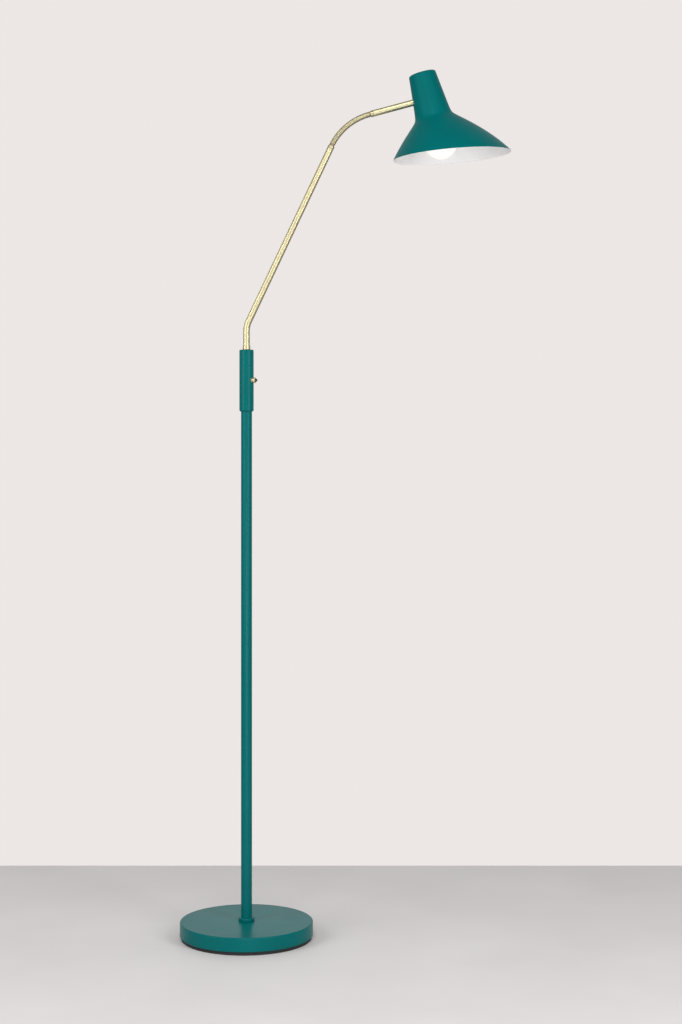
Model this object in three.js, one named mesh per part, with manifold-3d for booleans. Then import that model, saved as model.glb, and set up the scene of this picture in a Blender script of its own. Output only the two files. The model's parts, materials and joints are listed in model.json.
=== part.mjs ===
// Adjustable arm floor lamp. Millimetres, +Z up, origin on the floor under the middle of the pole.
// The arm lies in the XZ plane and reaches towards +X.

import * as THREE from "three";
import { mergeVertices } from "three/addons/utils/BufferGeometryUtils.js";
import Module from "manifold-3d";

const wasm = await Module();
wasm.setup();

// ---------------------------------------------------------------- driving dimensions

const GAP = 0.3; // clearance that touching pieces keep
const SIDES = { base: 48, shade: 40, pole: 24, round: 20, small: 16, link: 12 }; // round faces per turn

const PAD = { radius: 118.5, thickness: 6.2 };
const BASE = { radius: 121, bottom: 6.5, top: 31.5, wall: 1.2, edge: 2 };
const WEIGHT = { radius: 117.5, plateTop: 20.3, rimWidth: 7.5 };
const WEIGHT_BOSS = { radius: 29, wellRadius: 26, wellTop: 22.5 };
const CORD_INLET = { height: 13, hole: 4.7, barrel: 4.4, flange: 6, bore: 2.9, inner: 113 };

const NIPPLE = { radius: 4.7, bore: 3 }; // M10 hollow threaded tube
const NIPPLE_HOLE = NIPPLE.radius + GAP;
const SMALL_NUT = 14; // across flats
const BASE_NIPPLE = { bottom: 14.2, top: 48 };
const BASE_NUT = { flats: 17, bottom: 14.8, top: 20.4 };
const BASE_WASHER = { radius: 11, bottom: 20.7, top: 22.2 };

const COLLAR = { radius: 14.5, height: 6.2, edge: 1.6 };
const POLE = { radius: 10, wall: 1.2, top: 990 };
const POLE_PLUG_TOP = 52;
const SLEEVE = { radius: 13, bottom: 958, top: 1070.5, bore: 11, grip: 10.3, gripTop: 992, roof: 1062.5 };

const SET_SCREW = { radius: 2, height: 970, end: 12.7 };
const SWIVEL_BUSH = { radius: 6.7, flange: 7.6, bottom: 1061.2, flangeTop: 1062.2, top: 1070.2 };
const SPINDLE = { bottom: 1049.5, top: 1094 };
const STOP_WASHER = { radius: 7.6, bottom: 1058.7, top: 1059.8, tabWidth: 2.8, tabEnd: 10.4 };
const SPRING_WASHER = { radius: 7.6, bottom: 1060.1, top: 1060.9 };
const SWIVEL_NUTS = { lockBottom: 1050.4, lockTop: 1054.1, bottom: 1054.4, top: 1058.1 };
const STOP_PIN = { radius: 1.2, offset: 9.2, bottom: 1058.4, top: 1066 };

// The switch is drawn along its own axis, outwards from the axis of the pole.
const SWITCH = { height: 1014.8, azimuth: 55, hole: 4.2 };
const SWITCH_BODY = { inner: -8.5, outer: 6.2, halfWide: 6, halfTall: 6.5 };
const TERMINAL = { offset: 3, halfWide: 1.5, near: 6.8, far: 10.8, inner: -3, outer: -2.2 };
const SWITCH_BUSH = { bore: 2.8, radius: 3.9, inner: 6.5, outer: 17.4 };
const BEZEL = { bore: 2.9, radius: 5.1, hole: 4.2, inner: 13.3, step: 17.7, outer: 21, edge: 1.7 };
const BUTTON = { radius: 2.5, inner: 8.6, outer: 24 };

const ARM_TUBE = { radius: 6, wall: 1 };
const LEAD_RADIUS = 2.3;

const ARM = { elbowHeight: 1114, elbowRadius: 40, lean: 25.3, length: 362 };
const NECK = { links: 8, turn: 49.7, radius: 106.9, outer: 5.2, ball: 4.2, bore: 1.6, slot: 2.2 };
const FERRULE = { radius: 6, lip: 5, plug: 4.7, plugLength: 13, edge: 0.6 };
const ARM_FERRULE = { bore: 6.2, radius: 6.9, height: 7, edge: 0.4 };
const UPPER = { rise: 15, reach: 111.7 }; // reach: from the end of the neck to the axis of the shade

const SHADE = {
  top: 47.7, // above the axis of the arm tube
  topRadius: 24.6,
  neckAngle: 5.9,
  edge: 4,
  neckLength: 83.6,
  blend: 5.2,
  flareStart: 50.6,
  flareEnd: 28.4,
  flareLength: 104.2,
  wall: 1,
  rimDrop: 109.8,
  rimTilt: 10.4,
};
const SEAT = { face: 28.6, recess: 6.4, pad: 6.9, back: 26.5 }; // where the arm tube meets the shade
// Pieces near the head are placed from its middle line, where the arm tube's axis crosses it.
const HEAD_NIPPLE = { inner: 20.3, grip: 18 };
const HEAD_WASHER = { radius: 8.3, inner: 23.6, outer: 24.4 };
const HEAD_NUT = { inner: 20.6, outer: 23.3 };
const BRACKET = { face: 26.2, thick: 1.5, halfWidth: 6, top: 23.2, foot: -9, bend: 9.5, reach: 9, bevel: 4.3 };
const HOLDER = { radius: 18.25, inner: 16.4, bore: 14.9, top: 21.4, seam: -2, rim: -36 };
const SCREW_SHELL = { bore: 13.6, radius: 14.4, bottom: -33, top: -9.4 };
const CORE = { radius: 15.9, bottom: -7.3, top: 6 };
const BULB = { radius: 30, centre: -84.5, neckRadius: 12.2, wall: 0.8, top: -20 };
const BULB_CAP = { radius: 13.2, skirt: -34.5, shoulder: -15, top: -11.8, hole: 8 };

const COLOURS = {
  paint: { color: 0x006660, roughness: 0.42, metalness: 0.1 },
  brass: { color: 0xc9bd8a, roughness: 0.3, metalness: 0.9 },
  steel: { color: 0x9a9c9e, roughness: 0.4, metalness: 0.9 },
  iron: { color: 0x4a4a4a, roughness: 0.8, metalness: 0.6 },
  foam: { color: 0x1b1b1c, roughness: 0.9, metalness: 0 },
  black: { color: 0x222020, roughness: 0.5, metalness: 0 },
  cream: { color: 0xe4e0d4, roughness: 0.4, metalness: 0 },
  glass: { color: 0xfaf8f2, roughness: 0.35, metalness: 0 },
};

// ---------------------------------------------------------------- geometry helpers

const rad = THREE.MathUtils.degToRad;

function signedVolume(geometry) {
  const p = geometry.getAttribute("position");
  const index = geometry.getIndex();
  const a = new THREE.Vector3();
  const b = new THREE.Vector3();
  const c = new THREE.Vector3();
  let sum = 0;
  for (let i = 0; i < index.count; i += 3) {
    a.fromBufferAttribute(p, index.getX(i));
    b.fromBufferAttribute(p, index.getX(i + 1));
    c.fromBufferAttribute(p, index.getX(i + 2));
    sum += a.dot(b.cross(c));
  }
  return sum / 6;
}

// One closed mesh with shared corners, no empty triangles and its faces pointing out.
function closed(source) {
  const bare = source.clone();
  bare.deleteAttribute("normal");
  bare.deleteAttribute("uv");
  const merged = mergeVertices(bare, 1e-4);
  const old = merged.getIndex();
  const kept = [];
  for (let i = 0; i < old.count; i += 3) {
    const [a, b, c] = [old.getX(i), old.getX(i + 1), old.getX(i + 2)];
    if (a !== b && b !== c && c !== a) kept.push(a, b, c);
  }
  merged.setIndex(kept);
  if (signedVolume(merged) < 0) {
    for (let i = 0; i < kept.length; i += 3) {
      [kept[i], kept[i + 1]] = [kept[i + 1], kept[i]];
    }
    merged.setIndex(kept);
  }
  return merged;
}

function toSolid(geometry) {
  const merged = closed(geometry);
  const mesh = new wasm.Mesh({
    numProp: 3,
    vertProperties: new Float32Array(merged.getAttribute("position").array),
    triVerts: new Uint32Array(merged.getIndex().array),
  });
  return new wasm.Manifold(mesh);
}

function fromSolid(solid) {
  const mesh = solid.getMesh();
  const geometry = new THREE.BufferGeometry();
  geometry.setAttribute("position", new THREE.BufferAttribute(new Float32Array(mesh.vertProperties), 3));
  geometry.setIndex(new THREE.BufferAttribute(new Uint32Array(mesh.triVerts), 1));
  return geometry;
}

function cut(body, ...tools) {
  let solid = toSolid(body);
  for (const tool of tools) solid = solid.subtract(toSolid(tool));
  return fromSolid(solid);
}

function join(...bodies) {
  let solid = toSolid(bodies[0]);
  for (const body of bodies.slice(1)) solid = solid.add(toSolid(body));
  return fromSolid(solid);
}

// A profile of [radius, height] points turned about +Z.
function turned(points, sides = SIDES.round) {
  const profile = points.map(([r, z]) => new THREE.Vector2(r, z));
  return closed(new THREE.LatheGeometry(profile, sides).rotateX(Math.PI / 2));
}

function ring(inner, outer, low, high, sides = SIDES.small) {
  const corners = [[inner, low], [outer, low], [outer, high], [inner, high], [inner, low]];
  return turned(corners, sides);
}

function rod(radius, low, high, sides = SIDES.small) {
  return turned([[0, low], [radius, low], [radius, high], [0, high]], sides);
}

function hexNut(acrossFlats, low, high) {
  const outline = new THREE.Shape();
  const corner = acrossFlats / Math.sqrt(3);
  for (let i = 0; i < 6; i += 1) {
    const turn = rad(60 * i);
    if (i === 0) outline.moveTo(corner, 0);
    else outline.lineTo(corner * Math.cos(turn), corner * Math.sin(turn));
  }
  outline.closePath();
  outline.holes.push(new THREE.Path().absarc(0, 0, NIPPLE_HOLE, 0, 2 * Math.PI, true));
  const settings = { depth: high - low, bevelEnabled: false, curveSegments: SIDES.small / 2 };
  return new THREE.ExtrudeGeometry(outline, settings).translate(0, 0, low);
}

function box(low, high) {
  const size = high.map((value, i) => value - low[i]);
  const middle = high.map((value, i) => (value + low[i]) / 2);
  return new THREE.BoxGeometry(...size).translate(...middle);
}

// Points of an arc in a profile, from one angle to another in degrees.
function arc(centre, radius, from, to, steps) {
  const points = [];
  for (let i = 0; i <= steps; i += 1) {
    const turn = rad(from + ((to - from) * i) / steps);
    points.push([centre[0] + radius * Math.cos(turn), centre[1] + radius * Math.sin(turn)]);
  }
  return points;
}

// A run of stations joined by straight lines, so that a bend gets close stations and a straight gets none.
class StationCurve extends THREE.Curve {
  constructor(stations) {
    super();
    this.stations = stations;
  }

  getPoint(t, target = new THREE.Vector3()) {
    const place = t * (this.stations.length - 1);
    const i = Math.min(Math.floor(place + 1e-9), this.stations.length - 2);
    return target.lerpVectors(this.stations[i], this.stations[i + 1], place - i);
  }

  getPointAt(u, target) {
    return this.getPoint(u, target);
  }

  getTangentAt(u, target = new THREE.Vector3()) {
    const step = 0.5 / (this.stations.length - 1);
    const before = this.getPoint(Math.max(u - step, 0));
    const after = this.getPoint(Math.min(u + step, 1));
    return target.subVectors(after, before).normalize();
  }
}

function sweep(stations, radius, bore, sides) {
  const section = new THREE.Shape().absarc(0, 0, radius, 0, 2 * Math.PI, false);
  if (bore > 0) section.holes.push(new THREE.Path().absarc(0, 0, bore, 0, 2 * Math.PI, true));
  const settings = {
    extrudePath: new StationCurve(stations),
    steps: stations.length - 1,
    curveSegments: sides,
    bevelEnabled: false,
  };
  return closed(new THREE.ExtrudeGeometry(section, settings));
}

// ---------------------------------------------------------------- scene graph helpers

const lamp = new THREE.Group();

function add(parent, name, geometry, look) {
  const mesh = new THREE.Mesh(geometry, new THREE.MeshStandardMaterial(COLOURS[look]));
  mesh.name = name;
  parent.add(mesh);
  return mesh;
}

// A group whose local +Z points along a direction in the XZ plane, given by its angle above +X.
function alongArm(place, angle) {
  const group = new THREE.Group();
  group.position.copy(place);
  group.rotation.y = Math.PI / 2 - rad(angle);
  lamp.add(group);
  return group;
}

// ---------------------------------------------------------------- base

function buildBase() {
  add(lamp, "base_pad", rod(PAD.radius, 0, PAD.thickness, SIDES.base), "foam");

  const roof = BASE.top - BASE.wall;
  const inside = BASE.radius - BASE.wall;
  const shell = turned([
    [inside, BASE.bottom],
    [BASE.radius, BASE.bottom],
    ...arc([BASE.radius - BASE.edge, BASE.top - BASE.edge], BASE.edge, 0, 90, 3),
    [NIPPLE_HOLE, BASE.top],
    [NIPPLE_HOLE, roof],
    [inside - 1, roof],
    [inside, roof - 1],
    [inside, BASE.bottom],
  ], SIDES.base);
  const inlet = rod(CORD_INLET.hole, 110, 125).rotateX(-Math.PI / 2).translate(0, 0, CORD_INLET.height);
  add(lamp, "base_cover", cut(shell, inlet), "paint");

  const low = PAD.thickness + GAP + 0.3;
  const high = roof - GAP;
  const rimInside = WEIGHT.radius - WEIGHT.rimWidth;
  const casting = turned([
    [NIPPLE_HOLE, WEIGHT_BOSS.wellTop],
    [WEIGHT_BOSS.wellRadius, WEIGHT_BOSS.wellTop],
    [WEIGHT_BOSS.wellRadius, low],
    [WEIGHT.radius, low],
    [WEIGHT.radius, high],
    [rimInside, high],
    [rimInside - 2, WEIGHT.plateTop],
    [WEIGHT_BOSS.radius + 2, WEIGHT.plateTop],
    [WEIGHT_BOSS.radius, high],
    [NIPPLE_HOLE, high],
    [NIPPLE_HOLE, WEIGHT_BOSS.wellTop],
  ], SIDES.base - 8);
  const channelTop = CORD_INLET.height + CORD_INLET.hole + 0.2;
  const channel = box([-5, WEIGHT_BOSS.wellRadius - 3, low - 1], [5, 125, channelTop]);
  add(lamp, "base_weight", cut(casting, channel), "iron");

  const faceY = BASE.radius + GAP;
  const bush = turned([
    [CORD_INLET.bore, CORD_INLET.inner],
    [CORD_INLET.barrel, CORD_INLET.inner],
    [CORD_INLET.barrel, faceY],
    [CORD_INLET.flange, faceY],
    [CORD_INLET.flange - 0.6, faceY + 1.8],
    [CORD_INLET.bore, faceY + 1.8],
    [CORD_INLET.bore, CORD_INLET.inner],
  ], SIDES.small);
  bush.rotateX(-Math.PI / 2).translate(0, 0, CORD_INLET.height);
  add(lamp, "base_cord_bush", bush, "black");

  const nipple = ring(NIPPLE.bore, NIPPLE.radius, BASE_NIPPLE.bottom, BASE_NIPPLE.top);
  add(lamp, "base_nipple", nipple, "steel");
  const washer = ring(NIPPLE_HOLE, BASE_WASHER.radius, BASE_WASHER.bottom, BASE_WASHER.top);
  add(lamp, "base_washer", washer, "steel");
  add(lamp, "base_nut", hexNut(BASE_NUT.flats, BASE_NUT.bottom, BASE_NUT.top), "steel");
}

// ---------------------------------------------------------------- pole and sleeve

function switchPlace(geometry) {
  // The switch axis is horizontal, turned from -Y towards +X.
  geometry.rotateY(Math.PI / 2).rotateZ(rad(SWITCH.azimuth - 90));
  return geometry.translate(0, 0, SWITCH.height);
}

function buildPole() {
  const seat = BASE.top + GAP;
  const crown = seat + COLLAR.height;
  const bore = POLE.radius + GAP;
  const collar = turned([
    [bore, seat],
    [COLLAR.radius - 0.8, seat],
    [COLLAR.radius, seat + 0.8],
    ...arc([COLLAR.radius - COLLAR.edge, crown - COLLAR.edge], COLLAR.edge, 0, 90, 3),
    [bore, crown],
    [bore, seat],
  ], SIDES.pole);
  add(lamp, "foot_collar", collar, "paint");
  const inside = POLE.radius - POLE.wall;
  add(lamp, "pole", ring(inside, POLE.radius, seat, POLE.top, SIDES.pole), "paint");
  add(lamp, "pole_foot_plug", ring(NIPPLE_HOLE, inside - GAP, seat, POLE_PLUG_TOP), "steel");

  const s = SLEEVE;
  const tube = turned([
    [s.grip, s.bottom],
    [s.radius - 1.6, s.bottom],
    [s.radius, s.bottom + 2.2],
    ...arc([s.radius - 1.8, s.top - 1.8], 1.8, 0, 90, 4),
    [7, s.top],
    [7, s.roof],
    [s.bore, s.roof],
    [s.bore, s.gripTop],
    [s.grip, s.gripTop],
    [s.grip, s.bottom],
  ], SIDES.pole);
  const wall = [POLE.radius - 1, s.radius + 3]; // a span that passes right through the sleeve's wall
  const toBack = (g) => g.rotateX(-Math.PI / 2).translate(0, 0, SET_SCREW.height);
  const sideHole = switchPlace(rod(SWITCH.hole, ...wall));
  const screwHole = toBack(rod(SET_SCREW.radius + GAP, ...wall));
  const stopHole = rod(STOP_PIN.radius + GAP, s.roof - 1, STOP_PIN.top + 0.5, SIDES.link);
  stopHole.translate(0, STOP_PIN.offset, 0);
  add(lamp, "sleeve", cut(tube, sideHole, screwHole, stopHole), "paint");
  add(lamp, "sleeve_set_screw", toBack(rod(SET_SCREW.radius, bore, SET_SCREW.end)), "steel");

  const b = SWIVEL_BUSH;
  const bush = turned([
    [NIPPLE_HOLE, b.bottom],
    [b.flange, b.bottom],
    [b.flange, b.flangeTop],
    [b.radius, b.flangeTop],
    [b.radius, b.top],
    [NIPPLE_HOLE, b.top],
    [NIPPLE_HOLE, b.bottom],
  ]);
  add(lamp, "swivel_bush", bush, "brass");
  const pin = rod(STOP_PIN.radius, STOP_PIN.bottom, STOP_PIN.top, SIDES.link);
  add(lamp, "swivel_stop_pin", pin.translate(0, STOP_PIN.offset, 0), "steel");
}

function buildSwitch() {
  const b = SWITCH_BODY;
  const body = box([-b.halfTall, -b.halfWide, b.inner], [b.halfTall, b.halfWide, b.outer]);
  add(lamp, "switch_body", switchPlace(body), "black");
  const t = TERMINAL;
  for (const side of [-1, 1]) {
    const middle = t.offset * side;
    const blade = box([t.near, middle - t.halfWide, t.inner], [t.far, middle + t.halfWide, t.outer]);
    add(lamp, side < 0 ? "switch_terminal_1" : "switch_terminal_2", switchPlace(blade), "brass");
  }
  const barrel = ring(SWITCH_BUSH.bore, SWITCH_BUSH.radius, SWITCH_BUSH.inner, SWITCH_BUSH.outer, SIDES.round);
  add(lamp, "switch_bush", switchPlace(barrel), "brass");
  const z = BEZEL;
  const bezel = turned([
    [z.hole, z.inner],
    [z.radius, z.inner],
    [z.radius, z.outer - 2 * z.edge],
    ...arc([z.radius - z.edge, z.outer - z.edge - 0.6], z.edge, 20, 80, 3),
    [z.bore, z.outer],
    [z.bore, z.step],
    [z.hole, z.step],
    [z.hole, z.inner],
  ]);
  add(lamp, "switch_bezel", switchPlace(bezel), "brass");
  const u = BUTTON;
  const plunger = turned([
    [0, u.inner],
    [u.radius, u.inner],
    [u.radius, u.outer - 0.9],
    [u.radius - 0.6, u.outer - 0.2],
    [0, u.outer],
  ]);
  add(lamp, "switch_button", switchPlace(plunger), "black");
}

// ---------------------------------------------------------------- leads inside the tubes

function buildStandLead() {
  const bend = 6;
  const floorRun = 9.5;
  const stations = [];
  stations.push(new THREE.Vector3(0, 111, CORD_INLET.height), new THREE.Vector3(0, 60, CORD_INLET.height));
  stations.push(new THREE.Vector3(0, 30, floorRun), new THREE.Vector3(0, 12, floorRun));
  for (let i = 0; i <= 6; i += 1) {
    const turn = rad(15 * i);
    stations.push(new THREE.Vector3(0, bend - bend * Math.sin(turn), floorRun + bend - bend * Math.cos(turn)));
  }
  stations.push(new THREE.Vector3(0, 0, 40), new THREE.Vector3(0, 0, 1005));
  add(lamp, "lead_in_stand", sweep(stations, LEAD_RADIUS, 0, 5), "black");
}

// ---------------------------------------------------------------- arm

// Stations of the lower arm's centre line, from a height on the pole axis to a distance past the elbow.
function armStations(from, reach) {
  const half = rad(ARM.lean) / 2;
  const centreX = ARM.elbowRadius;
  const centreZ = ARM.elbowHeight - ARM.elbowRadius * Math.tan(half);
  const stations = [new THREE.Vector3(0, 0, from)];
  const steps = 6;
  for (let i = 0; i <= steps; i += 1) {
    const turn = (rad(ARM.lean) * i) / steps;
    const x = centreX - ARM.elbowRadius * Math.cos(turn);
    stations.push(new THREE.Vector3(x, 0, centreZ + ARM.elbowRadius * Math.sin(turn)));
  }
  const lean = rad(ARM.lean);
  stations.push(new THREE.Vector3(reach * Math.sin(lean), 0, ARM.elbowHeight + reach * Math.cos(lean)));
  return stations;
}

function buildLowerArm() {
  const foot = SLEEVE.top + GAP;
  const inside = ARM_TUBE.radius - ARM_TUBE.wall;
  const stations = armStations(foot, ARM.length - FERRULE.lip - GAP);
  const tube = sweep(stations, ARM_TUBE.radius, inside, SIDES.small / 2);
  add(lamp, "lower_arm_tube", tube, "brass");
  const f = ARM_FERRULE;
  const collar = turned([
    [f.bore, foot],
    [f.radius, foot],
    [f.radius, foot + f.height - 1],
    [f.radius - f.edge, foot + f.height],
    [f.bore, foot + f.height],
    [f.bore, foot],
  ]);
  add(lamp, "arm_ferrule", collar, "brass");
  add(lamp, "swivel_spindle", ring(NIPPLE.bore, NIPPLE.radius, SPINDLE.bottom, SPINDLE.top), "steel");
  const spring = ring(NIPPLE_HOLE, SPRING_WASHER.radius, SPRING_WASHER.bottom, SPRING_WASHER.top);
  add(lamp, "swivel_spring_washer", spring, "steel");
  const w = STOP_WASHER;
  const tab = box([-w.tabWidth / 2, -w.tabEnd, w.bottom], [w.tabWidth / 2, -6, w.top]);
  const stopRing = ring(NIPPLE_HOLE, w.radius, w.bottom, w.top);
  add(lamp, "swivel_stop_washer", join(stopRing, tab), "steel");
  const n = SWIVEL_NUTS;
  add(lamp, "swivel_nut", hexNut(SMALL_NUT, n.bottom, n.top), "brass");
  add(lamp, "swivel_lock_nut", hexNut(SMALL_NUT, n.lockBottom, n.lockTop), "brass");
  const leadEnd = ARM.length - FERRULE.lip - FERRULE.plugLength - GAP;
  add(lamp, "lead_in_lower_arm", sweep(armStations(1030, leadEnd), LEAD_RADIUS, 0, 5), "black");
}

// The middle line of the flexible neck is one arc, turning down from the lean of the lower arm.
const NECK_START = new THREE.Vector3(
  ARM.length * Math.sin(rad(ARM.lean)),
  0,
  ARM.elbowHeight + ARM.length * Math.cos(rad(ARM.lean)),
);

function neckPoint(share) {
  const start = rad(90 - ARM.lean);
  const now = start - rad(NECK.turn) * share;
  const x = NECK.radius * (Math.sin(start) - Math.sin(now));
  const z = NECK.radius * (Math.cos(now) - Math.cos(start));
  return new THREE.Vector3(x, 0, z).add(NECK_START);
}

const cupRadius = NECK.ball + GAP;

// The lower half of a ball about z = 0, from its bore out to its widest.
function ballPoints(steps) {
  const start = -THREE.MathUtils.radToDeg(Math.acos(NECK.bore / NECK.ball));
  return arc([0, 0], NECK.ball, start, 0, steps);
}

// A half-round cup that opens upwards at height z, from its lip down to its bore.
function cupPoints(z, steps) {
  const end = -THREE.MathUtils.radToDeg(Math.acos(NECK.bore / cupRadius));
  return arc([0, z], cupRadius, 0, end, steps);
}

function linkGeometry(length) {
  const points = [
    ...ballPoints(3),
    [NECK.ball, NECK.slot],
    [NECK.outer, NECK.slot],
    [NECK.outer, length],
    ...cupPoints(length, 3),
  ];
  points.push(points[0]);
  return turned(points, SIDES.link);
}

function buildNeck() {
  const lower = alongArm(NECK_START, 90 - ARM.lean);
  const socket = [
    [NECK.bore, -FERRULE.lip - FERRULE.plugLength],
    [FERRULE.plug, -FERRULE.lip - FERRULE.plugLength],
    [FERRULE.plug, -FERRULE.lip],
    [FERRULE.radius, -FERRULE.lip],
    [FERRULE.radius, -FERRULE.edge],
    [FERRULE.radius - FERRULE.edge, 0],
    ...cupPoints(0, 3),
  ];
  socket.push(socket[0]);
  add(lower, "neck_lower_ferrule", turned(socket, SIDES.small), "brass");

  for (let i = 0; i < NECK.links; i += 1) {
    const from = neckPoint(i / NECK.links);
    const to = neckPoint((i + 1) / NECK.links);
    const angle = THREE.MathUtils.radToDeg(Math.atan2(to.z - from.z, to.x - from.x));
    add(alongArm(from, angle), `neck_link_${i + 1}`, linkGeometry(from.distanceTo(to)), "brass");
  }

  const upper = alongArm(neckPoint(1), UPPER.rise);
  const top = NECK.slot + FERRULE.lip;
  const plug = [
    ...ballPoints(3),
    [NECK.ball, NECK.slot],
    [FERRULE.radius - FERRULE.edge, NECK.slot],
    [FERRULE.radius, NECK.slot + FERRULE.edge],
    [FERRULE.radius, top],
    [FERRULE.plug, top],
    [FERRULE.plug, top + FERRULE.plugLength],
    [NECK.bore, top + FERRULE.plugLength],
  ];
  plug.push(plug[0]);
  add(upper, "neck_upper_ferrule", turned(plug, SIDES.small), "brass");

  const tubeEnd = UPPER.reach - SEAT.face - GAP;
  const inside = ARM_TUBE.radius - ARM_TUBE.wall;
  add(upper, "upper_arm_tube", ring(inside, ARM_TUBE.radius, top + GAP, tubeEnd), "brass");
  const nippleStart = tubeEnd - HEAD_NIPPLE.grip;
  const nippleEnd = UPPER.reach - HEAD_NIPPLE.inner;
  add(upper, "head_nipple", ring(NIPPLE.bore, NIPPLE.radius, nippleStart, nippleEnd), "steel");
  const washerSpan = [UPPER.reach - HEAD_WASHER.outer, UPPER.reach - HEAD_WASHER.inner];
  add(upper, "head_spring_washer", ring(NIPPLE_HOLE, HEAD_WASHER.radius, ...washerSpan), "steel");
  const nutSpan = [UPPER.reach - HEAD_NUT.outer, UPPER.reach - HEAD_NUT.inner];
  add(upper, "head_nut", hexNut(SMALL_NUT, ...nutSpan), "brass");
  add(upper, "lead_in_upper_arm", rod(LEAD_RADIUS, top + FERRULE.plugLength + GAP, nippleEnd, 10), "black");
}

// ---------------------------------------------------------------- head

// Outer radius of the shade at a distance below its top: a narrow cone running into a wide flare.
function shadeRadius(depth) {
  const s = SHADE;
  const cone = Math.tan(rad(s.neckAngle));
  const neck = s.topRadius + cone * depth;
  const past = depth - s.neckLength;
  const open = Math.tan(rad(s.flareStart));
  const ease = (Math.tan(rad(s.flareEnd)) - open) / (2 * s.flareLength);
  const flare = s.topRadius + cone * s.neckLength + open * past + ease * Math.max(past, 0) ** 2;
  return 0.5 * (neck + flare + Math.hypot(neck - flare, s.blend));
}

function shadeGeometry() {
  const s = SHADE;
  const past = [-15, -6, -1, 5, 14, 29, 47, 67, 87, 109];
  const depths = [s.edge, ...past.map((d) => s.neckLength + d)];
  const last = depths[depths.length - 1];
  const outer = depths.map((d) => [shadeRadius(d), s.top - d]);
  const inner = depths.slice(0, -1).map((d) => {
    const slope = shadeRadius(d + 0.5) - shadeRadius(d - 0.5);
    const length = Math.hypot(1, slope);
    return [shadeRadius(d) - s.wall / length, s.top - d - (s.wall * slope) / length];
  });
  const edgeCentre = [shadeRadius(s.edge) - s.edge, s.top - s.edge];
  const shell = turned([
    [0, s.top],
    ...arc(edgeCentre, s.edge, 90, 15, 4),
    ...outer,
    [shadeRadius(last) - 1.5, s.top - last],
    ...inner.slice(1).reverse(),
    [shadeRadius(s.edge) - s.wall, s.top - s.edge],
    [edgeCentre[0] + 1, s.top - s.wall],
    [0, s.top - s.wall],
  ], SIDES.shade);
  const below = box([-250, -250, -300], [250, 250, 0]);
  below.rotateY(rad(s.rimTilt)).translate(0, 0, -s.rimDrop);
  const sideways = (g) => g.rotateY(-Math.PI / 2);
  const pad = sideways(rod(SEAT.pad, SEAT.back, SEAT.face));
  const outside = SEAT.face + 6;
  const recess = sideways(rod(SEAT.recess, SEAT.face, outside));
  const hole = sideways(rod(NIPPLE_HOLE, SEAT.back - 6, outside));
  return cut(join(shell, pad), recess, hole, below);
}

function bracketGeometry() {
  const b = BRACKET;
  const low = b.top - b.thick;
  const side = new THREE.Shape([
    [-b.face, b.foot],
    [-b.face + b.thick, b.foot],
    [-b.face + b.thick, b.bend],
    [-b.face + b.bevel + 1.3, low],
    [b.reach, low],
    [b.reach, b.top],
    [-b.face + b.bevel, b.top],
    [-b.face, b.bend],
  ].map(([x, z]) => new THREE.Vector2(x, z)));
  const strap = new THREE.ExtrudeGeometry(side, { depth: 2 * b.halfWidth, bevelEnabled: false });
  strap.translate(0, 0, -b.halfWidth).rotateX(Math.PI / 2);
  const sideHole = rod(NIPPLE_HOLE, 20, 30).rotateY(-Math.PI / 2);
  const topHole = rod(NIPPLE_HOLE, 15, 30);
  return cut(strap, sideHole, topHole);
}

function buildHolder(head) {
  const h = HOLDER;
  const cap = turned([
    [h.inner, h.seam],
    [h.radius, h.seam],
    [h.radius, 8],
    [h.inner, 15.5],
    [10, h.top],
    [NIPPLE_HOLE, h.top],
    [NIPPLE_HOLE, 18],
    [9, 18],
    [14.5, 13.4],
    [h.inner, 7.5],
    [h.inner, h.seam],
  ]);
  add(head, "lampholder_cap", cap, "black");
  const shell = turned([
    [h.bore, h.rim],
    [h.radius - 0.8, h.rim],
    [h.radius, h.rim + 1.5],
    [h.radius, h.seam - GAP],
    [h.inner, h.seam - GAP],
    [h.inner, -8],
    [h.bore, -9],
    [h.bore, h.rim],
  ]);
  add(head, "lampholder_body", shell, "black");
  const c = SCREW_SHELL;
  add(head, "lampholder_screw_shell", ring(c.bore, c.radius, c.bottom, c.top, SIDES.round), "brass");
  add(head, "lampholder_core", rod(CORE.radius, CORE.bottom, CORE.top, SIDES.round), "cream");
  add(head, "lampholder_contact", box([-7, -2.5, -8.3], [7, 2.5, -7.7]), "brass");
  add(head, "holder_nipple", ring(NIPPLE.bore, NIPPLE.radius, 10, 31), "steel");
  add(head, "holder_nut", hexNut(SMALL_NUT, BRACKET.top + GAP, BRACKET.top + 4), "brass");
}

function bulbOutline(inset) {
  const b = BULB;
  const radius = b.radius - inset;
  const neck = b.neckRadius - inset;
  const shoulder = arc([0, b.centre], radius, -90, 38, 9);
  shoulder[0][0] = 0;
  const taper = [[17.6 - inset, b.centre + 28], [14 - inset, b.centre + 38], [neck, b.centre + 47]];
  return [...shoulder, ...taper, [neck, b.top]];
}

function buildBulb(head) {
  const glass = turned([...bulbOutline(0), ...bulbOutline(BULB.wall).reverse()], SIDES.round);
  add(head, "bulb_glass", glass, "glass");
  const c = BULB_CAP;
  const bore = BULB.neckRadius + GAP;
  const cap = turned([
    [bore, c.skirt],
    [c.radius, c.skirt],
    [c.radius, c.shoulder],
    [c.hole + 1, c.top],
    [c.hole, c.top],
    [c.hole, c.top - 1.2],
    [bore, c.shoulder - 1],
    [bore, c.skirt],
  ]);
  add(head, "bulb_cap", cap, "brass");
  const contact = turned([[0, -14], [7.6, -13.4], [7.6, -11.4], [4.6, -9.6], [3.8, -8.7], [0, -8.7]]);
  add(head, "bulb_contact", contact, "steel");
}

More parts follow.
